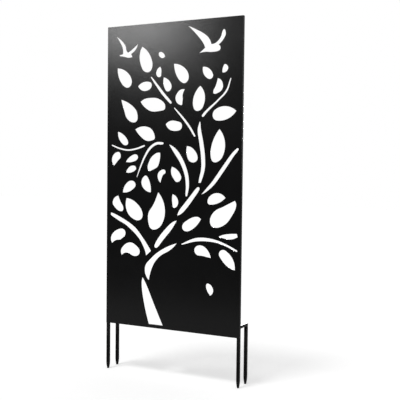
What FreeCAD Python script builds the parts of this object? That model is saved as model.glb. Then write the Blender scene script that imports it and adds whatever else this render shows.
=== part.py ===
import FreeCAD, Part
import math
import os

import Sketcher

# A garden screen: a laser-cut steel sheet on a frame of square tube. The two stiles of the frame run on
# below the sheet as front stakes, and a short crossbar behind each carries a rear stake.
# X runs across the screen, the sheet faces -Y and Z is up from the tips of the stakes.

Vector = FreeCAD.Vector

# Driving dimensions, in millimetres.
SIZES = {
    # The laser-cut sheet.
    "panel_width": 900,
    "panel_height": 1800,
    "sheet_thickness": 1.2,
    # Plain sheet between the tubes behind it and the nearest cut-out, and above the highest one.
    "cutout_rim": 1.5,
    "top_margin": 33,
    # How far inside its drawn outline each cut-out is cut.
    "cut_inset": 1.4,
    # Square tube of the frame and the stakes.
    "tube_size": 18,
    "tube_wall": 1.2,
    "tube_corner": 2,
    # Stakes: how far they reach below the sheet, and how far the rear ones stand behind the front ones.
    "stake_reach": 285,
    "rear_setback": 100,
    # Top of the crossbars above the bottom edge of the sheet.
    "crossbar_height": 70,
    # Solid points that plug into the stakes.
    "point_length": 60,
    "point_tip": 9,
    "point_chamfer": 1.2,
    "spigot_length": 20,
    "spigot_clearance": 0.15,
}

# Sizes and places that follow from the driving dimensions.
DERIVED = {
    "half_tube": "tube_size / 2",
    "half_bore": "half_tube - tube_wall",
    # A saw or mill that cuts a tube runs past it by the thickness of its wall.
    "past_tube": "half_tube + tube_wall",
    "frame_y": "(sheet_thickness - rear_setback) / 2",
    "rear_y": "frame_y + rear_setback",
    "stile_x": "(panel_width - tube_size) / 2",
    "stile_length": "stake_reach + panel_height - point_length",
    "stake_length": "stake_reach + crossbar_height - point_length",
    "point_flat": "half_tube - point_chamfer",
    "half_tip": "point_tip / 2",
    "half_spigot": "half_bore - spigot_clearance",
}

doc = FreeCAD.newDocument("garden_screen")
sheet = doc.addObject("Spreadsheet::Sheet", "Sizes")
cells = [(name, str(size)) for name, size in SIZES.items()]
cells += [(name, "=" + formula) for name, formula in DERIVED.items()]
for row, (name, content) in enumerate(cells, start=1):
    sheet.set(f"A{row}", name)
    sheet.set(f"B{row}", content)
    sheet.setAlias(f"B{row}", name)
doc.recompute()


# Drawing tools

def measure(expression):
    """The present value of an expression on the sheet of sizes, such as Sizes.tube_size / 2."""
    return float(sheet.evalExpression(expression))


def new_body(label, x, y, z):
    """An empty body whose origin stands at three expressions."""
    body = doc.addObject("PartDesign::Body", label)
    body.Label = label
    for axis, expression in zip("xyz", (x, y, z)):
        body.setExpression(f"Placement.Base.{axis}", expression)
    return body


def origin_feature(body, role):
    return next(feature for feature in body.Origin.OriginFeatures if feature.Role == role)


def new_sketch(body, name, role):
    """A sketch on one of the body's own origin planes."""
    sketch = body.newObject("Sketcher::SketchObject", name)
    sketch.AttachmentSupport = [(origin_feature(body, role), "")]
    sketch.MapMode = "FlatFace"
    return sketch


def drive(sketch, kind, where, expression):
    """A dimension of the sketch that follows an expression."""
    index = sketch.addConstraint(Sketcher.Constraint(kind, *where, measure(expression)))
    sketch.setExpression(f"Constraints[{index}]", expression)


# How a sketch numbers the points of a line or an arc, its own level axis, and its origin, where that starts.
START, END, CENTRE = range(1, 4)
ACROSS = -START
ORIGIN = (ACROSS, START)


def draw_round_square(sketch, size, corner):
    """A square with round corners about the sketch's origin: four sides, then the corner after each."""
    first = sketch.GeometryCount
    half = measure(size) / 2
    radius = measure(corner)
    flat = half - radius
    turn = FreeCAD.Rotation(Vector(0, 0, 1), 90)
    right, up = Vector(1, 0, 0), Vector(0, 1, 0)
    sides, corners = [], []
    for _ in range(4):
        sides.append(Part.LineSegment(right * -flat - up * half, right * flat - up * half))
        centre = (right - up) * flat
        middle = centre + (right - up).normalize() * radius
        corners.append(Part.Arc(centre - up * radius, middle, centre + right * radius))
        right, up = turn.multVec(right), turn.multVec(up)
    sketch.addGeometry(sides + corners, False)
    rules = []
    for i in range(4):
        side, arc, following = first + i, first + 4 + i, first + (i + 1) % 4
        rules.append(Sketcher.Constraint("Tangent", side, END, arc, START))
        rules.append(Sketcher.Constraint("Tangent", arc, END, following, START))
        rules.append(Sketcher.Constraint("Horizontal" if i % 2 == 0 else "Vertical", side))
    for i in range(1, 4):
        rules.append(Sketcher.Constraint("Equal", first + 4, first + 4 + i))
    rules.append(Sketcher.Constraint("Symmetric", first + 4, CENTRE, first + 6, CENTRE, *ORIGIN))
    sketch.addConstraint(rules)
    drive(sketch, "DistanceX", (first + 3, START, first + 1, START), size)
    drive(sketch, "DistanceY", (first, START, first + 2, START), size)
    drive(sketch, "Radius", (first + 4,), corner)


def draw_polygon(sketch, corners, bowed_edge=None):
    """A closed polygon, each corner placed from the sketch's origin by a pair of expressions.

    An arc may stand for the edge from the last corner to the first; it runs anticlockwise.
    """
    first = sketch.GeometryCount
    count = len(corners)
    points = [Vector(measure(across), measure(up), 0) for across, up in corners]
    edges = [Part.LineSegment(points[i - 1], points[i]) for i in range(count)]
    if bowed_edge:
        edges[0] = bowed_edge
    sketch.addGeometry(edges, False)
    for i, (across, up) in enumerate(corners):
        following = first + (i + 1) % count
        sketch.addConstraint(Sketcher.Constraint("Coincident", first + i, END, following, START))
        drive(sketch, "DistanceX", (*ORIGIN, first + i, END), across)
        drive(sketch, "DistanceY", (*ORIGIN, first + i, END), up)


def square_corners(half):
    """Corners of a square about the origin, as pairs of expressions."""
    return ((f"-{half}", f"-{half}"), (half, f"-{half}"), (half, half), (f"-{half}", half))


def arc_middle(start, heading, end):
    """The middle of the arc that leaves start along a heading and reaches end."""
    chord = end - start
    bow = math.atan2(chord.x * heading.y - chord.y * heading.x, chord.dot(heading))
    return (start + end + Vector(-chord.y, chord.x, 0) * math.tan(bow / 2)) * 0.5


def pad(body, sketch, length, side="One side", reverse=False):
    """Thicken the sketch by an expression."""
    feature = body.newObject("PartDesign::Pad", "Pad")
    feature.Profile = sketch
    feature.SideType = side
    feature.Reversed = reverse
    feature.setExpression("Length", length)
    doc.recompute()


def cut_through(body, sketch):
    """Cut the sketch's area right through the body, both ways."""
    whole = body.Shape.Volume
    feature = body.newObject("PartDesign::Pocket", "Pocket")
    feature.Profile = sketch
    feature.Type = "ThroughAll"
    feature.SideType = "Symmetric"
    doc.recompute()
    if not body.Shape.Volume < whole:
        raise ValueError(f"{body.Label}: {sketch.Label} cuts nothing")
    return feature


# Square tube

def draw_tube(body, role):
    """The section of the square tube, wall and bore."""
    sketch = new_sketch(body, "TubeSection", role)
    draw_round_square(sketch, "Sizes.tube_size", "Sizes.tube_corner")
    draw_polygon(sketch, square_corners("Sizes.half_bore"))
    return sketch


def mitre_top(body, role, length, long_side):
    """Saw the top of an upright tube at 45 degrees, leaving it full height on its long side, 1 or -1."""
    above = f"{length} - Sizes.half_tube + Sizes.past_tube"
    below = f"{length} - Sizes.half_tube - Sizes.past_tube"
    far = f"{long_side} * Sizes.past_tube"
    near = f"{-long_side} * Sizes.past_tube"
    sketch = new_sketch(body, "Mitre", role)
    draw_polygon(sketch, ((near, below), (far, above), (near, above)))
    cut_through(body, sketch)


def mitre_end(body, role, length, end):
    """Saw the end of a level tube at 45 degrees, leaving its top edge full length. The end is 1 or -1."""
    outside = f"{end} * ({length} - Sizes.half_tube + Sizes.past_tube)"
    inside = f"{end} * ({length} - Sizes.half_tube - Sizes.past_tube)"
    above = "Sizes.past_tube"
    below = "-Sizes.past_tube"
    sketch = new_sketch(body, "Mitre", role)
    draw_polygon(sketch, ((outside, above), (outside, below), (inside, below)))
    cut_through(body, sketch)


def make_stile(label, side):
    """An upright of the frame, mitred into the top rail; its foot is the front stake."""
    body = new_body(label, f"{side} * Sizes.stile_x", "Sizes.frame_y", "Sizes.point_length")
    pad(body, draw_tube(body, "XY_Plane"), "Sizes.stile_length")
    mitre_top(body, "XZ_Plane", "Sizes.stile_length", side)
    return body


def make_top_rail():
    body = new_body(
        "top_rail", "0", "Sizes.frame_y", "Sizes.stake_reach + Sizes.panel_height - Sizes.half_tube"
    )
    pad(body, draw_tube(body, "YZ_Plane"), "Sizes.panel_width", side="Symmetric")
    for end in (-1, 1):
        mitre_end(body, "XZ_Plane", "Sizes.panel_width / 2", end)
    return body


def make_bottom_rail():
    """The lower rail is cut square and stands between the stiles."""
    body = new_body("bottom_rail", "0", "Sizes.frame_y", "Sizes.stake_reach + Sizes.half_tube")
    pad(body, draw_tube(body, "YZ_Plane"), "Sizes.panel_width - 2 * Sizes.tube_size", side="Symmetric")
    return body


def make_crossbar(label, side):
    """The short tube from the back of a stile to the top of the rear stake."""
    body = new_body(
        label,
        f"{side} * Sizes.stile_x",
        "Sizes.frame_y + Sizes.half_tube",
        "Sizes.stake_reach + Sizes.crossbar_height - Sizes.half_tube",
    )
    pad(body, draw_tube(body, "XZ_Plane"), "Sizes.rear_setback", reverse=True)
    mitre_end(body, "YZ_Plane", "Sizes.rear_setback", 1)
    return body


def make_rear_stake(label, side):
    """The rear stake, mitred under the end of its crossbar."""
    body = new_body(label, f"{side} * Sizes.stile_x", "Sizes.rear_y", "Sizes.point_length")
    pad(body, draw_tube(body, "XY_Plane"), "Sizes.stake_length")
    mitre_top(body, "YZ_Plane", "Sizes.stake_length", 1)
    return body


def draw_bowed_side(sketch):
    """The waste beside a point: an arc runs from the shoulder, where it is upright, in to the tip."""
    shoulder = ("Sizes.half_tube", "0")
    tip = ("Sizes.half_tip", "-Sizes.point_length")
    outside = "Sizes.past_tube"
    below = "-Sizes.point_length - Sizes.tube_wall"
    top, bottom = (Vector(measure(across), measure(up), 0) for across, up in (shoulder, tip))
    bow = Part.Arc(bottom, arc_middle(top, Vector(0, -1, 0), bottom), top)
    corners = (shoulder, (outside, "0"), (outside, below), ("Sizes.half_tip", below), tip)
    draw_polygon(sketch, corners, bow)
    sketch.addConstraint(Sketcher.Constraint("PointOnObject", 0, CENTRE, ACROSS))


def make_point(label, side, y):
    """A solid four-sided point with bowed sides; its spigot plugs the open end of the stake."""
    body = new_body(label, f"{side} * Sizes.stile_x", y, "Sizes.point_length")
    half, flat = "Sizes.half_tube", "Sizes.point_flat"
    bar = new_sketch(body, "ChamferedBar", "XY_Plane")
    draw_polygon(
        bar,
        (
            (flat, f"-{half}"), (half, f"-{flat}"),
            (half, flat), (flat, half),
            (f"-{flat}", half), (f"-{half}", flat),
            (f"-{half}", f"-{flat}"), (f"-{flat}", f"-{half}"),
        ),
    )
    pad(body, bar, "Sizes.point_length", reverse=True)
    waste = new_sketch(body, "BowedSide", "XZ_Plane")
    draw_bowed_side(waste)
    one_side = cut_through(body, waste)
    four_sides = body.newObject("PartDesign::PolarPattern", "FourSides")
    four_sides.Originals = [one_side]
    four_sides.Axis = (origin_feature(body, "Z_Axis"), [""])
    four_sides.Angle = 360
    four_sides.Occurrences = 4
    body.Tip = four_sides
    spigot = new_sketch(body, "Spigot", "XY_Plane")
    draw_polygon(spigot, square_corners("Sizes.half_spigot"))
    pad(body, spigot, "Sizes.spigot_length")
    return body


# The tree, drawn in millimetres from the middle of the sheet's bottom edge: X across, then height.

# Each leaf is a closed row of arcs through its points, sharp at the first one, its tip.
LEAVES = (
    # Round the birds and down the upper left.
    ((-205, 1667), (-222, 1580), (-170, 1512), (-134, 1573)),
    ((-47, 1599), (-74, 1591), (-93, 1618), (-70, 1627)),
    ((-79, 1543), (-109, 1507), (-84, 1480), (-71, 1512)),
    ((-379, 1548), (-347, 1450), (-287, 1435), (-291, 1503)),
    ((-233, 1434), (-183, 1403), (-136, 1436), (-178, 1460)),
    ((-57, 1480), (-54, 1422), (-23, 1395), (-4, 1436)),
    ((-352, 1359), (-333, 1298), (-308, 1242), (-260, 1219), (-233, 1243), (-253, 1304)),
    ((-215, 1341), (-155, 1288), (-90, 1282), (-43, 1304), (-84, 1354), (-168, 1362)),
    # Upper right.
    ((11, 1555), (43, 1462), (98, 1445), (98, 1512)),
    ((200, 1528), (213, 1474), (260, 1460), (252, 1507)),
    ((324, 1488), (326, 1518), (344, 1536), (360, 1506)),
    ((295, 1460), (284, 1422), (267, 1379), (290, 1372), (326, 1397), (325, 1438)),
    ((185, 1422), (137, 1333), (173, 1277), (217, 1345)),
    ((87, 1404), (73, 1376), (72, 1338), (60, 1313), (23, 1348), (44, 1396)),
    ((415, 1273), (335, 1221), (265, 1246), (320, 1300)),
    ((310, 1175), (254, 1048), (291, 985), (347, 1068)),
    # Middle left, round the arching twig.
    ((-251, 1179), (-190, 1118), (-145, 1109), (-112, 1132), (-156, 1191)),
    ((-373, 1168), (-357, 1109), (-309, 1085), (-309, 1126)),
    ((-400, 960), (-414, 1013), (-372, 1046), (-351, 1018), (-376, 986)),
    ((-317, 984), (-247, 991), (-230, 1021), (-266, 1028)),
    ((-314, 921), (-264, 925), (-242, 953), (-281, 961)),
    ((-336, 800), (-272, 815), (-246, 858), (-298, 867)),
    ((-137, 805), (-201, 845), (-184, 903), (-150, 880)),
    ((-75, 1040), (-87, 966), (-118, 942), (-159, 938), (-147, 1000), (-108, 1036)),
    # Middle, between the limbs.
    ((-41, 1207), (8, 1166), (70, 1192), (14, 1227)),
    ((101, 1079), (108, 1005), (146, 983), (174, 1010), (147, 1061)),
    ((4, 960), (-3, 928), (9, 896), (43, 869), (66, 907)),
    ((9, 800), (7, 750), (24, 718), (49, 760)),
    ((-71, 862), (-93, 910), (-62, 942), (-37, 929), (-57, 905)),
    ((-88, 810), (-113, 750), (-158, 660), (-112, 585), (-40, 677)),
    # Lower left.
    ((-367, 782), (-409, 744), (-385, 702), (-344, 686), (-330, 708), (-352, 749)),
    ((-309, 769), (-311, 702), (-275, 652), (-214, 638), (-194, 682), (-240, 743)),
    ((-411, 489), (-412, 545), (-345, 583), (-313, 556), (-345, 518), (-385, 508)),
    ((-340, 420), (-341, 465), (-285, 502), (-228, 479), (-212, 442), (-245, 420), (-305, 437)),
    # Lower right, and the leaf that falls.
    ((354, 786), (285, 747), (238, 762), (287, 812)),
    ((411, 773), (345, 740), (282, 707), (255, 655), (278, 616), (349, 633), (402, 697), (421, 745)),
    ((200, 660), (168, 674), (116, 656), (76, 618), (95, 586), (147, 601)),
    ((266, 440), (215, 448), (168, 457), (160, 493), (198, 511), (240, 490)),
    ((417, 380), (344, 420), (322, 485), (389, 464)),
    ((264, 225), (236, 268), (248, 295), (282, 263)),
)

# Each limb is a bowed slot: places along its middle, with its width there. It ends in a point where the
# width is 0 and is round otherwise.
LIMBS = (
    ((-141, 1483, 9), (-98, 1430, 17), (-56, 1380, 19), (-8, 1331, 15)),
    ((18, 1298, 8), (74, 1240, 14), (119, 1186, 15), (152, 1136, 12)),
    ((204, 1250, 16), (226, 1274, 16), (298, 1334, 12), (351, 1386, 13), (377, 1454, 8)),
    ((185, 1214, 8), (182, 1170, 24), (195, 1100, 28), (207, 1020, 28), (208, 950, 26), (189, 875, 18)),
    ((424, 1059, 16), (394, 1027, 22), (338, 952, 25), (275, 869, 24), (233, 828, 17), (195, 798, 0)),
    ((-19, 1090, 0), (25, 1050, 27), (70, 987, 28), (100, 915, 26), (108, 850, 23), (102, 794, 14)),
    ((-414, 1085, 9), (-360, 1066, 11), (-300, 1056, 11), (-240, 1064, 12), (-186, 1081, 11)),
    ((-60, 1095, 15), (-105, 1093, 17), (-148, 1065, 17), (-183, 1015, 14), (-212, 955, 11), (-236, 896, 6)),
    ((-99, 490, 26), (-62, 540, 35), (-8, 600, 33), (18, 628, 22), (42, 647, 0)),
    ((41, 674, 0), (64, 697, 26), (101, 738, 31), (137, 782, 29), (178, 834, 22)),
    ((75, 510, 8), (160, 539, 21), (225, 545, 22), (300, 537, 17), (362, 518, 14), (426, 490, 11)),
)

# The other outlines are rows of runs. Each run is smooth along its points and starts from a sharp one.
TRUNK_FOOT = (
    ((-191, 301), (-160, 250), (-112, 150)),
    ((-46, 18),),
    ((-145, 18), (-182, 150), (-198, 250)),
)
TRUNK_BEND = (
    ((-146, 281), (-176, 356), (-128, 421), (-50, 477)),
    ((44, 515), (0, 472), (-72, 429), (-117, 375)),
)
LOW_BOUGH = (
    ((-132, 459),),
    (
        (-169, 427), (-182, 470), (-222, 532), (-306, 601), (-370, 633),
        (-424, 664), (-424, 679), (-350, 653), (-254, 601), (-205, 553),
    ),
)
CUT_TWIG = (
    ((309, 565), (352, 581)),
    ((427, 588),),
    ((432, 568), (385, 552), (340, 557)),
)
SMALL_BIRD = (
    ((-393, 1742), (-348, 1709), (-322, 1678), (-314, 1648)),
    ((-304, 1638), (-279, 1652)),
    ((-235, 1686), (-249, 1652)),
    ((-281, 1627),),
    ((-272, 1608), (-300, 1605), (-335, 1613)),
    ((-364, 1618),),
    ((-363, 1626),),
    ((-342, 1630), (-345, 1667), (-367, 1707)),
)
LARGE_BIRD = (
    ((98, 1768), (150, 1745), (204, 1716), (238, 1687)),
    ((254, 1653), (281, 1659), (308, 1685), (325, 1727), (339, 1726), (341, 1692)),
    ((301, 1646), (312, 1630), (303, 1612), (260, 1606), (216, 1609)),
    ((172, 1603),),
    ((212, 1634), (197, 1664), (162, 1706)),
)

# An arc that bows less than this is cut as a straight line.
FLAT_ENOUGH = 0.01


def limb_outline(stations):
    """The points round a bowed slot, from its start along one side and back, and its sharp ends."""
    spine = [Vector(x, z, 0) for x, z, width in stations]
    halves = [width / 2 for x, z, width in stations]
    last = len(spine) - 1
    left, right = [], []
    for i, point in enumerate(spine):
        ahead = (spine[min(i + 1, last)] - spine[max(i - 1, 0)]).normalize()
        side = Vector(-ahead.y, ahead.x, 0) * halves[i]
        if halves[i] > 0:
            left.append(point + side)
            right.append(point - side)
        if i == 0:
            start = point - ahead * halves[i]
    end = spine[last] + ahead * halves[last]
    points = [start] + left + [end] + right[::-1]
    ends = ((0, halves[0]), (1 + len(left), halves[last]))
    return points, [number for number, half in ends if half == 0]


def arc_from(start, heading, end):
    """The arc that leaves start along a heading and reaches end."""
    middle = arc_middle(start, heading, end)
    if middle.distanceToPoint((start + end) * 0.5) < FLAT_ENOUGH:
        return Part.LineSegment(start, end)
    return Part.Arc(start, middle, end)


def headings_along(points):
    """The heading of a smooth outline at each point of a closed row."""
    count = len(points)
    return [(points[(i + 1) % count] - points[i - 1]).normalize() for i in range(count)]


def arrival(start, heading, end):
    """The heading at which the arc that leaves start along a heading reaches end."""
    along = (end - start).normalize()
    return along * (2 * along.dot(heading)) - heading


def inset(points, sharp):
    """Draw an outline inwards: a smooth point moves square to it, a sharp one along its corner's bisector."""
    depth = measure("Sizes.cut_inset")
    count = len(points)
    area = sum(points[i - 1].x * points[i].y - points[i].x * points[i - 1].y for i in range(count))
    headings = headings_along(points)
    moved = []
    for i, point in enumerate(points):
        before, j = i - 1, (i + 1) % count
        arrives = leaves = headings[i]
        if i in sharp:
            arrives = (point - points[before]).normalize()
            leaves = (points[j] - point).normalize()
            if before % count not in sharp:
                arrives = arrival(points[before], headings[before], point)
            if j not in sharp:
                leaves = arrival(points[j], headings[j] * -1, point) * -1
        heading = (arrives + leaves).normalize()
        inwards = Vector(-heading.y, heading.x, 0) * math.copysign(1, area)
        moved.append(point + inwards * (depth / heading.dot(leaves)))
    return moved, sharp


def arcs_through(points, sharp):
    """Arcs through a closed row of points. They run on smoothly at each point, but for the sharp ones."""
    headings = headings_along(points)
    arcs = []
    for i, start in enumerate(points):
        j = (i + 1) % len(points)
        end = points[j]
        if i in sharp and j in sharp:
            arcs.append(Part.LineSegment(start, end))
        elif i in sharp:
            arcs.append(arc_from(end, headings[j] * -1, start))
        elif j in sharp:
            arcs.append(arc_from(start, headings[i], end))
        else:
            # Two arcs that meet smoothly, each as long from its tangents' corner as the other.
            gap = end - start
            lean = gap.dot(headings[i] + headings[j])
            turn = 2 - 2 * headings[i].dot(headings[j])
            reach = gap.dot(gap) / (lean + math.sqrt(lean ** 2 + turn * gap.dot(gap)))
            joint = (start + end + (headings[i] - headings[j]) * reach) * 0.5
            arcs.append(arc_from(start, headings[i], joint))
            arcs.append(arc_from(end, headings[j] * -1, joint))
    return arcs


def run_outline(runs):
    """The points of all the runs of an outline, and the numbers of the sharp ones."""
    points, sharp = [], []
    for run in runs:
        sharp.append(len(points))
        points += [Vector(x, z, 0) for x, z in run]
    return points, sharp


def tree_outlines():
    """Every cut-out of the tree as a row of points with the numbers of the sharp ones."""
    drawings = [[leaf] for leaf in LEAVES]
    drawings += [TRUNK_FOOT, TRUNK_BEND, LOW_BOUGH, CUT_TWIG, SMALL_BIRD, LARGE_BIRD]
    outlines = [run_outline(runs) for runs in drawings] + [limb_outline(stations) for stations in LIMBS]
    return [inset(points, sharp) for points, sharp in outlines]


def fit_to_sheet(outlines):
    """Stretch the tree to the sheet: clear of the tubes at the sides and the foot, and of the top margin."""
    drawn = [point for points, sharp in outlines for point in points]
    widest = max(abs(point.x) for point in drawn)
    lowest = min(point.y for point in drawn)
    highest = max(point.y for point in drawn)
    rim = measure("Sizes.tube_size + Sizes.cutout_rim")
    across = (measure("Sizes.panel_width / 2") - rim) / widest
    up = (measure("Sizes.panel_height - Sizes.top_margin") - rim) / (highest - lowest)
    fitted = []
    for points, sharp in outlines:
        fitted.append(([Vector(p.x * across, rim + (p.y - lowest) * up, 0) for p in points], sharp))
    return fitted


def make_screen_sheet():
    """The blank and all its cut-outs are one drawing of lines and arcs, as the laser follows it."""
    body = new_body("screen_sheet", "0", "Sizes.frame_y - Sizes.half_tube", "Sizes.stake_reach")
    drawing = new_sketch(body, "LaserDrawing", "XZ_Plane")
    left, right = "-Sizes.panel_width / 2", "Sizes.panel_width / 2"
    top = "Sizes.panel_height"
    draw_polygon(drawing, ((left, "0"), (right, "0"), (right, top), (left, top)))
    first = drawing.GeometryCount
    for points, sharp in fit_to_sheet(tree_outlines()):
        drawing.addGeometry(arcs_through(points, sharp), False)
    fixed = [Sketcher.Constraint("Block", i) for i in range(first, drawing.GeometryCount)]
    drawing.addConstraint(fixed)
    pad(body, drawing, "Sizes.sheet_thickness")
    return body


pieces = [
    make_screen_sheet(),
    make_top_rail(),
    make_bottom_rail(),
]
for name, side in (("left", -1), ("right", 1)):
    pieces.append(make_stile(f"{name}_stile", side))
    pieces.append(make_crossbar(f"{name}_crossbar", side))
    pieces.append(make_rear_stake(f"{name}_rear_stake", side))
    pieces.append(make_point(f"{name}_front_point", side, "Sizes.frame_y"))
    pieces.append(make_point(f"{name}_rear_point", side, "Sizes.rear_y"))
doc.recompute()

for item in doc.Objects:
    if "Invalid" in item.State or "Error" in item.State:
        raise ValueError(f"{item.Label} failed: {item.State}")
for piece in pieces:
    if piece.Shape.isNull() or not piece.Shape.isValid() or len(piece.Shape.Solids) != 1:
        raise ValueError(f"{piece.Label} is not one sound solid")

os.makedirs("parts", exist_ok=True)
for piece in pieces:
    piece.Shape.exportStep(f"parts/{piece.Label}.step")
    print(piece.Label, round(piece.Shape.Volume), "mm3")
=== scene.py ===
# %% [markdown]
# # A garden screen with a cut-out tree
# The real object is a tall trellis of black powder-coated steel. A laser has cut a tree, its leaves and two
# birds out of a thin sheet, and a frame of square tube behind the sheet runs on below it as pointed stakes.
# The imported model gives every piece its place, so this lesson only adds what the solids lack: the rounded
# edges that a coat leaves, the welds, the finish and the light. Measures are metres in the model's frame.

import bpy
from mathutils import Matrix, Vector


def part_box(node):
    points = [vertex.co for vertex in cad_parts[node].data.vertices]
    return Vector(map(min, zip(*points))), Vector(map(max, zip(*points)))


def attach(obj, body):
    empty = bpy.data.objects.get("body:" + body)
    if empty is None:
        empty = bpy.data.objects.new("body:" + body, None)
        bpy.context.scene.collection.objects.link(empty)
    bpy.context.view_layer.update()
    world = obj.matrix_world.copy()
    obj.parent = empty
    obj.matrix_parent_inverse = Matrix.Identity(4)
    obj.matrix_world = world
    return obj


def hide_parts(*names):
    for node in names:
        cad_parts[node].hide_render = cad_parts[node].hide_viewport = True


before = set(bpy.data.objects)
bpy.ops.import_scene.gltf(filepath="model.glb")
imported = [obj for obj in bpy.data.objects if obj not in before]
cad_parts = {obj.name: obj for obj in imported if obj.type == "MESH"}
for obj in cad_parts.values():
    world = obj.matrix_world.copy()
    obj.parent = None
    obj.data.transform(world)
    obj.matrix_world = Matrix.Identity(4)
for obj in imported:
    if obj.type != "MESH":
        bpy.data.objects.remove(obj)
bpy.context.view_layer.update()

# %% Tools of this lesson
import math

import bmesh
import bpy
from mathutils import Matrix, Vector

MM_PER_METRE = 1000

scene = bpy.context.scene
scene.view_settings.view_transform = "Standard"


def add_to_scene(name, data):
    """A new object that holds the data, at the origin of the model's frame."""
    thing = bpy.data.objects.new(name, data)
    scene.collection.objects.link(thing)
    return thing


# %% [markdown]
# ## The camera
# The picture was taken from the right of the screen, a little above its middle, with a longish lens. A
# camera could be aimed with a Track To constraint, but its slight roll would be lost. Three turns in a row,
# the heading about Z, the tilt about X and the roll about the camera's own axis, keep all of it.

# %% Camera
EYE = Vector((2.217, -3.9431, 1.237))
HEADING, TILT_DOWN, ROLL = (math.radians(angle) for angle in (27.545, 2.36, 0.62))
LENS_MM = 68.87

camera = add_to_scene("camera", bpy.data.cameras.new("camera"))
camera.data.lens = LENS_MM
level = Matrix.Rotation(math.pi / 2 - TILT_DOWN, 4, "X")
camera.matrix_world = (
    Matrix.Translation(EYE) @ Matrix.Rotation(HEADING, 4, "Z") @ level @ Matrix.Rotation(ROLL, 4, "Z")
)
scene.camera = camera
print("the camera stands", round(EYE.length, 2), "m from the middle of the stakes' tips")

# %% [markdown]
# ## Nodes by name
# A finish is a small graph of nodes. They could be wired by hand in the shader editor, but a helper that
# adds a node and sets its inputs in one go keeps each material as short as a recipe.

# %% Helpers for nodes


def empty_tree(owner):
    """The node tree of a world or a material, without the nodes that a new one starts with."""
    owner.use_nodes = True
    owner.node_tree.nodes.clear()
    return owner.node_tree


def feed(tree, socket, value):
    """Link a socket to the one that is given as its value, or set it to a plain value."""
    if isinstance(value, bpy.types.NodeSocket):
        tree.links.new(value, socket)
    else:
        socket.default_value = value


def add_node(tree, kind, settings=None, **inputs):
    """A node of the tree with its inputs fed by name; underscores stand for spaces."""
    node = tree.nodes.new(kind)
    for name, value in (settings or {}).items():
        setattr(node, name, value)
    for name, value in inputs.items():
        feed(tree, node.inputs[name.replace("_", " ")], value)
    return node


# %% [markdown]
# ## The white surroundings
# The picture has a white ground without a horizon. A curved backdrop could be modelled, but a white world
# and a pale floor are simpler. Light Path tells which rays come straight from the camera, a mirror or glass:
# those see plain white, while the rays that carry light to the screen get a softer level of daylight.

# %% What the camera, mirrors and glass see


def seen_directly(tree):
    """A socket that is 1 for rays of the camera, of reflections and of glass."""
    path = add_node(tree, "ShaderNodeLightPath")
    seen = path.outputs["Is Camera Ray"]
    for ray in ("Is Glossy Ray", "Is Transmission Ray"):
        either = add_node(tree, "ShaderNodeMath", {"operation": "MAXIMUM"})
        feed(tree, either.inputs[0], seen)
        feed(tree, either.inputs[1], path.outputs[ray])
        seen = either.outputs[0]
    return seen


# %% The world
DAYLIGHT, PLAIN_WHITE = 0.6, 1.0
WHITE = (1, 1, 1, 1)

scene.world = bpy.data.worlds.new("white_room")
room = empty_tree(scene.world)
brightness = add_node(
    room, "ShaderNodeMapRange", Value=seen_directly(room), To_Min=DAYLIGHT, To_Max=PLAIN_WHITE
)
background = add_node(room, "ShaderNodeBackground", Color=WHITE, Strength=brightness.outputs[0])
add_node(room, "ShaderNodeOutputWorld", Surface=background.outputs[0])
print("daylight at", DAYLIGHT)

# %% The floor
FLOOR_HALF = 20

floor_shape = bmesh.new()
bmesh.ops.create_grid(floor_shape, x_segments=1, y_segments=1, size=FLOOR_HALF)
floor_mesh = bpy.data.meshes.new("floor")
floor_shape.to_mesh(floor_mesh)
floor_shape.free()
floor = add_to_scene("floor", floor_mesh)
print("floor", 2 * FLOOR_HALF, "m wide")

# %% Paint of the floor
FLOOR_COLOUR = (0.86, 0.86, 0.86, 1)
FLOOR_GLOW = 0.32

floor_paint = bpy.data.materials.new("pale_floor")
pale = empty_tree(floor_paint)
matt = add_node(pale, "ShaderNodeBsdfDiffuse", Color=FLOOR_COLOUR)
glow_level = add_node(pale, "ShaderNodeMapRange", Value=seen_directly(pale), To_Max=FLOOR_GLOW)
glow = add_node(pale, "ShaderNodeEmission", Color=WHITE, Strength=glow_level.outputs[0])
both = add_node(pale, "ShaderNodeAddShader")
feed(pale, both.inputs[0], matt.outputs[0])
feed(pale, both.inputs[1], glow.outputs[0])
add_node(pale, "ShaderNodeOutputMaterial", Surface=both.outputs[0])
floor_mesh.materials.append(floor_paint)
print("floor paint of", len(pale.nodes), "nodes")

# %% [markdown]
# ## The lamps
# One sun lights the screen from high at the front left. Its disc is as wide as a softbox, so the shadow
# behind the stakes is pale and fades. A black satin coat shows little but the lamps that mirror in it. They
# could be glowing cards, but area lamps that only the gloss sees leave the floor and its shadow alone. One
# stands in front for the sheen at the sheet's top left, one lies on the floor and lifts the sheet's foot out
# of the black, and three stand behind, so that the frame reads from the back too.

# %% Soft light
SUN_FROM = Vector((-0.165, -0.44, 1.0))
SUN_DISC = math.radians(14)
SUN_STRENGTH = 0.9

sun = add_to_scene("soft_sun", bpy.data.lights.new("soft_sun", "SUN"))
sun.data.angle = SUN_DISC
sun.data.energy = SUN_STRENGTH
sun.rotation_euler = SUN_FROM.to_track_quat("Z", "Y").to_euler()
print("the sun stands", round(math.degrees(math.asin(SUN_FROM.normalized().z))), "degrees up")

# %% A lamp for the gloss
UPPER_SHEET = Vector((0, 0, 1.8))


def add_reflector(name, place, width, height, watts, aim=UPPER_SHEET):
    """A flat lamp that is seen in the gloss of the coat alone."""
    reflector = add_to_scene(name, bpy.data.lights.new(name, "AREA"))
    reflector.data.shape = "RECTANGLE"
    reflector.data.size, reflector.data.size_y = width, height
    reflector.data.energy = watts
    reflector.location = place
    reflector.rotation_euler = (Vector(place) - aim).to_track_quat("Z", "Y").to_euler()
    reflector.visible_diffuse = False
    reflector.visible_camera = False
    print(name, "of", width, "by", height, "m")


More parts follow.
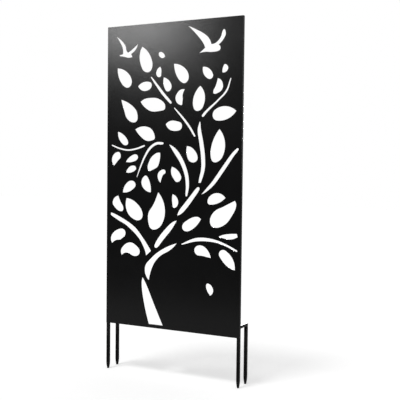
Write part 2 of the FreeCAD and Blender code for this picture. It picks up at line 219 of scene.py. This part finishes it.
# %% Reflectors
FLOOR_CARD = Vector((0, -1.4, 0.02))
UP = Vector((0, 0, 1))

add_reflector("front_reflector", (-2.45, -3.5, 3.2), width=1.1, height=1.3, watts=635)
add_reflector("floor_reflector", FLOOR_CARD, width=5.0, height=1.2, watts=76, aim=FLOOR_CARD + UP)
add_reflector("back_left_reflector", (-3.9, 2.3, 2.0), width=1.6, height=1.6, watts=500)
add_reflector("back_right_reflector", (3.9, 2.3, 2.0), width=1.6, height=1.6, watts=500)
add_reflector("back_reflector", (-0.9, 4.4, 1.9), width=1.2, height=1.2, watts=450)

# %% [markdown]
# ## The powder coat
# Powder is baked onto the steel and flows into a satin black skin. Seen close it is like the peel of an
# orange: fine low bumps, with gloss that drifts a little from place to place. The skin draws thin along
# edges, where it looks greyer, and that grey is made lighter still as a painted highlight, so that the edges
# read on the black. An image could hold all that, but noise in the model's own metres keeps its scale on
# every piece, and a number stored with each vertex says where an edge is.

# %% Noise in the coat
CLOUDS_PER_METRE, CLOUD_DETAIL = 7, 4
PEEL_PER_METRE, PEEL_DETAIL = 650, 2

coat = bpy.data.materials.new("black_powder_coat_finish")
recipe = empty_tree(coat)
place = add_node(recipe, "ShaderNodeTexCoord").outputs["Object"]
clouds = add_node(recipe, "ShaderNodeTexNoise", Vector=place, Scale=CLOUDS_PER_METRE, Detail=CLOUD_DETAIL)
peel = add_node(recipe, "ShaderNodeTexNoise", Vector=place, Scale=PEEL_PER_METRE, Detail=PEEL_DETAIL)
for name, per_metre in (("clouds", CLOUDS_PER_METRE), ("peel", PEEL_PER_METRE)):
    print(name, "of about", round(MM_PER_METRE / per_metre, 1), "mm")

# %% Colour of the coat
FACE_BLACK = (0.002, 0.002, 0.0021, 1)
CLOUD_BLACK = (0.0042, 0.0042, 0.0044, 1)
# The edges' grey: a thinner coat, made lighter as a painted highlight so that the edges read.
EDGE_GREY_AND_HIGHLIGHT = (0.025, 0.025, 0.026, 1)
# The Mix node has sockets for numbers, vectors and colours. These are the places of its colours.
FIRST_COLOUR, SECOND_COLOUR, MIXED_COLOUR = 6, 7, 2


def mix_colours(share, first, second):
    """A colour of the coat that goes from the first to the second as the share goes from 0 to 1."""
    mix = add_node(recipe, "ShaderNodeMix", {"data_type": "RGBA"}, Factor=share)
    feed(recipe, mix.inputs[FIRST_COLOUR], first)
    feed(recipe, mix.inputs[SECOND_COLOUR], second)
    return mix.outputs[MIXED_COLOUR]


# A share of 1 on edges gives them the thin coat's grey, lightened as a painted highlight.
edge = add_node(recipe, "ShaderNodeAttribute", {"attribute_name": "thin_coat_and_highlight"})
clouded = mix_colours(clouds.outputs[0], FACE_BLACK, CLOUD_BLACK)
colour = mix_colours(edge.outputs["Fac"], clouded, EDGE_GREY_AND_HIGHLIGHT)
print("the coat is", round(EDGE_GREY_AND_HIGHLIGHT[0] / CLOUD_BLACK[0]), "times lighter on its edges")

# %% Black powder coat
SMOOTH, DULL = 0.2, 0.26
PEEL_HEIGHT, PEEL_STRENGTH = 0.00018, 0.4
SPECULAR = 0.03

gloss = add_node(recipe, "ShaderNodeMapRange", Value=clouds.outputs[0], To_Min=SMOOTH, To_Max=DULL)
bumps = add_node(
    recipe, "ShaderNodeBump", Height=peel.outputs[0], Strength=PEEL_STRENGTH, Distance=PEEL_HEIGHT
)
skin = add_node(
    recipe, "ShaderNodeBsdfPrincipled",
    Base_Color=colour, Roughness=gloss.outputs[0], Normal=bumps.outputs[0], Specular_IOR_Level=SPECULAR,
)
add_node(recipe, "ShaderNodeOutputMaterial", Surface=skin.outputs[0])
print("powder coat of", len(recipe.nodes), "nodes")

# %% One way to finish a piece


def finish_piece(piece, *stands_for):
    """Coat a new piece, let it ride on the screen and hide the solids that it stands for."""
    piece.data.materials.clear()
    piece.data.materials.append(coat)
    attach(piece, "root")
    if stands_for:
        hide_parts(*stands_for)


# %% [markdown]
# ## The cut sheet
# The sheet is 1.2 mm thick, and its coat rounds every cut edge. A Bevel modifier on the solid would trip
# over its thin triangles. So the outlines are read from the solid's face and drawn again as one flat curve:
# Blender fills such a curve, thickens it and rounds its edges in one go, inside the same outline.

# %% Read the outlines
# Corners closer than this are one, and a face whose normal has a lower Y than this looks forward.
WELD = 1e-6
FORWARD = -0.5


def face_outlines(node):
    """Each closed outline on the front face of a flat solid, as a row of its corners."""
    solid = bmesh.new()
    solid.from_mesh(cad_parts[node].data)
    bmesh.ops.remove_doubles(solid, verts=solid.verts, dist=WELD)
    solid.normal_update()
    front = {face for face in solid.faces if face.normal.y < FORWARD}
    rim = dict.fromkeys(edge for edge in solid.edges if len(front.intersection(edge.link_faces)) == 1)
    outlines = []
    while rim:
        edge = next(iter(rim))
        corner = edge.verts[0]
        row = []
        while edge:
            del rim[edge]
            corner = edge.other_vert(corner)
            row.append(corner.co.copy())
            edge = next((other for other in corner.link_edges if other in rim), None)
        outlines.append(row)
    solid.free()
    return outlines


outlines = face_outlines("screen_sheet")
print("the sheet has", len(outlines) - 1, "cut-outs and", sum(map(len, outlines)), "corners")

# %% Set up one flat curve
COAT_ROUND, COAT_STEPS = 0.00025, 1
STEPS_PER_SPAN = 2

sheet_low, sheet_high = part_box("screen_sheet")
drawing = bpy.data.curves.new("sheet_drawing", "CURVE")
drawing.dimensions = "2D"
drawing.fill_mode = "BOTH"
drawing.resolution_u = STEPS_PER_SPAN
drawing.extrude = (sheet_high.y - sheet_low.y) / 2 - COAT_ROUND
drawing.bevel_depth = COAT_ROUND
drawing.bevel_resolution = COAT_STEPS
drawing.offset = -COAT_ROUND
print("the sheet is", round(MM_PER_METRE * (sheet_high.y - sheet_low.y), 2), "mm thick")

# %% Draw the outlines
SHARP_TURN = math.radians(30)


def draw_outline(row):
    """A closed spline through the corners, smooth where the outline turns little and sharp elsewhere."""
    spline = drawing.splines.new("BEZIER")
    spline.bezier_points.add(len(row) - 1)
    spline.use_cyclic_u = True
    flat = [Vector((corner.x, corner.z)) for corner in row]
    for i, (knot, spot) in enumerate(zip(spline.bezier_points, flat)):
        knot.co = (*spot, 0)
        turn = (spot - flat[i - 1]).angle(flat[(i + 1) % len(flat)] - spot)
        kind = "VECTOR" if turn > SHARP_TURN else "AUTO"
        knot.handle_left_type = knot.handle_right_type = kind


for row in outlines:
    draw_outline(row)
print("drawn with", len(drawing.splines), "splines")

# %% Turn curves into meshes


def mesh_of_curve(curve):
    """A mesh in the shape that a curve has with its thickness and its bevel."""
    draft = add_to_scene("draft", curve)
    mesh = bpy.data.meshes.new_from_object(draft)
    bpy.data.objects.remove(draft)
    return mesh


# %% Make the sheet from the curve
stand_up = Matrix.Rotation(math.pi / 2, 4, "X")
into_place = Matrix.Translation((0, (sheet_low.y + sheet_high.y) / 2, 0))
sheet_mesh = mesh_of_curve(drawing)
sheet_mesh.transform(into_place @ stand_up)
shape = bmesh.new()
shape.from_mesh(sheet_mesh)
bmesh.ops.remove_doubles(shape, verts=shape.verts, dist=WELD)
bmesh.ops.recalc_face_normals(shape, faces=shape.faces)
edge_and_highlight_layer = shape.verts.layers.float.new("thin_coat_and_highlight")
# Cut edges get 1: their grey is thin coat with a painted highlight; the faces get 0.
for vert in shape.verts:
    on_a_face = min(vert.co.y - sheet_low.y, sheet_high.y - vert.co.y) < WELD
    vert[edge_and_highlight_layer] = 0.0 if on_a_face else 1.0
for face in shape.faces:
    face.smooth = True
shape.to_mesh(sheet_mesh)
shape.free()
print("sheet of", len(sheet_mesh.polygons), "faces")

# %% The sheet as a piece
tree_sheet = add_to_scene("tree_sheet", sheet_mesh)
tree_sheet.modifiers.new("flat_faces", "WEIGHTED_NORMAL").keep_sharp = True
finish_piece(tree_sheet, "screen_sheet")
print(tree_sheet.name, "is finished")

# %% [markdown]
# ## The tubes and the points
# Saw cuts and milled edges are as sharp as a knife in the solids, but a coat always rounds them. The solids
# are simple here, so a copy of each is welded, its flat triangles are joined to whole faces, and every sharp
# edge gets a small bevel. The bevel also leaves the fine seam that shows where two mitred tubes meet. Only
# the middle of a bevel gets the edge grey of thin coat and painted highlight, because what its rim holds
# would spread over the whole tube.

# %% Round the edges of a copy
EDGE_ROUND, EDGE_STEPS = 0.0004, 2
CIRCULAR = 0.5
FLAT = math.radians(0.5)


def rounded_copy(node, name):
    """A piece like the CAD node, with the bevelled edges that a coat leaves."""
    mesh = bpy.data.meshes.new(name)
    copy = bmesh.new()
    copy.from_mesh(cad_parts[node].data)
    edge_and_highlight_layer = copy.verts.layers.float.new("thin_coat_and_highlight")
    bmesh.ops.remove_doubles(copy, verts=copy.verts, dist=WELD)
    bmesh.ops.dissolve_limit(copy, angle_limit=FLAT, verts=copy.verts, edges=copy.edges)
    copy.normal_update()
    sharp = [edge for edge in copy.edges if edge.is_manifold and edge.calc_face_angle() > SHARP_TURN]
    rounded = bmesh.ops.bevel(
        copy, geom=sharp, affect="EDGES", offset=EDGE_ROUND, segments=EDGE_STEPS, profile=CIRCULAR,
        clamp_overlap=True,
    )
    bevels = set(rounded["faces"])
    # The middle of each bevel gets the edge grey: thin coat with a painted highlight.
    for vert in rounded["verts"]:
        vert[edge_and_highlight_layer] = float(bevels.issuperset(vert.link_faces))
    for face in copy.faces:
        face.smooth = True
    copy.to_mesh(mesh)
    copy.free()
    piece = add_to_scene(name, mesh)
    piece.modifiers.new("flat_faces", "WEIGHTED_NORMAL").keep_sharp = True
    finish_piece(piece, node)
    return piece


# %% Tubes and points
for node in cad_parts:
    if node != "screen_sheet":
        piece = rounded_copy(node, f"{node}_coated")
        print(piece.name, len(piece.data.polygons), "faces")

# %% [markdown]
# ## The welds
# A frame like this is welded wherever two tubes meet, and short stitches hold the sheet to it. A weld is a
# row of drops that overlap. Each drop could be a squashed sphere, but a curve whose radius swells and
# shrinks from point to point gives the same ripple as one closed skin. The welds were ground off where a
# tube's outer side has to be flat, so there the bead only fills the groove between the tubes' round corners.

# %% A rippled bead
BEAD_RADIUS = 0.002
DROP_PITCH = 0.0014
SWELL, DIP, TIP = 1.0, 0.8, 0.5
BEAD_STEPS = 2


def weld(name, runs):
    """One coated piece of weld beads, a bead for each pair of ends."""
    beads = bpy.data.curves.new(name, "CURVE")
    beads.dimensions = "3D"
    beads.bevel_depth = BEAD_RADIUS
    beads.bevel_resolution = BEAD_STEPS
    beads.use_fill_caps = True
    for start, end in runs:
        last = round((end - start).length / DROP_PITCH)
        spline = beads.splines.new("POLY")
        spline.points.add(last)
        for i, drop in enumerate(spline.points):
            drop.co = (*start.lerp(end, i / last), 1)
            drop.radius = TIP if i in (0, last) else (SWELL, DIP)[i % 2]
    mesh = mesh_of_curve(beads)
    mesh.name = name
    mesh.shade_smooth()
    finish_piece(add_to_scene(name, mesh))
    print(name, "with", len(runs), "beads")


# %% Where a bead runs
X_AXIS, Y_AXIS, Z_AXIS = range(3)
END_GAP = 0.0025


def run(axis, place, low, high):
    """The two ends of a bead along one axis through the place, a little short of the tube's corners."""
    start, end = Vector(place), Vector(place)
    start[axis], end[axis] = low[axis] + END_GAP, high[axis] - END_GAP
    return start, end


# %% Welds of the crossbars
# How far a bead's middle stands off the corner that it fills, lies in from a tube's round corner, and lies
# in from a side that was ground flat.
SEAT = 0.0004
IN_GROOVE, FLUSH = 0.0015, 0.0021

for side, outward in (("left", -1), ("right", 1)):
    low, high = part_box(f"{side}_crossbar")
    inner, outer = (high.x, low.x) if side == "left" else (low.x, high.x)
    at_stile = low.y
    at_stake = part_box(f"{side}_rear_stake")[0].y
    weld(f"{side}_crossbar_welds", [
        run(X_AXIS, (0, at_stile + SEAT, high.z + SEAT), low, high),
        run(X_AXIS, (0, at_stile + SEAT, low.z - SEAT), low, high),
        run(Z_AXIS, (inner + outward * IN_GROOVE, at_stile - SEAT, 0), low, high),
        run(Z_AXIS, (outer - outward * FLUSH, at_stile - SEAT, 0), low, high),
        run(X_AXIS, (0, at_stake - SEAT, low.z - SEAT), low, high),
    ])

# %% Welds of the rails
rail_low, rail_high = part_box("bottom_rail")
top_low, top_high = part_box("top_rail")
corners = []
for end, outward in ((rail_low.x, -1), (rail_high.x, 1)):
    near = end - outward * SEAT
    corners += [
        run(Y_AXIS, (near, 0, rail_high.z + SEAT), rail_low, rail_high),
        run(Y_AXIS, (near, 0, rail_low.z - SEAT), rail_low, rail_high),
        run(Z_AXIS, (end + outward * SEAT, rail_high.y - IN_GROOVE, 0), rail_low, rail_high),
        run(Y_AXIS, (near, 0, top_low.z - SEAT), top_low, top_high),
    ]
weld("rail_welds", corners)

# %% Stitches between the sheet and the frame
STITCH_LENGTH = 0.02
STITCHES_UP, STITCHES_ACROSS = 6, 3
SHEET_SEAT = 0.001


def middles(low, high, count):
    """The middles of so many equal stretches between two places."""
    stretch = (high - low) / count
    return [low + stretch * i + stretch / 2 for i in range(count)]


half = Vector((1, 1, 1)) * STITCH_LENGTH / 2
behind = sheet_high.y + SHEET_SEAT
stitches = []
for height in middles(sheet_low.z, sheet_high.z, STITCHES_UP):
    for beside_stile in (rail_low.x + SEAT, rail_high.x - SEAT):
        middle = Vector((beside_stile, behind, height))
        stitches.append(run(Z_AXIS, middle, middle - half, middle + half))
for across in middles(sheet_low.x, sheet_high.x, STITCHES_ACROSS):
    for beside_rail in (rail_high.z + SEAT, top_low.z - SEAT):
        middle = Vector((across, behind, beside_rail))
        stitches.append(run(X_AXIS, middle, middle - half, middle + half))
weld("sheet_stitches", stitches)

# %% [markdown]
# ## The end

# %% End
print("the screen is dressed")
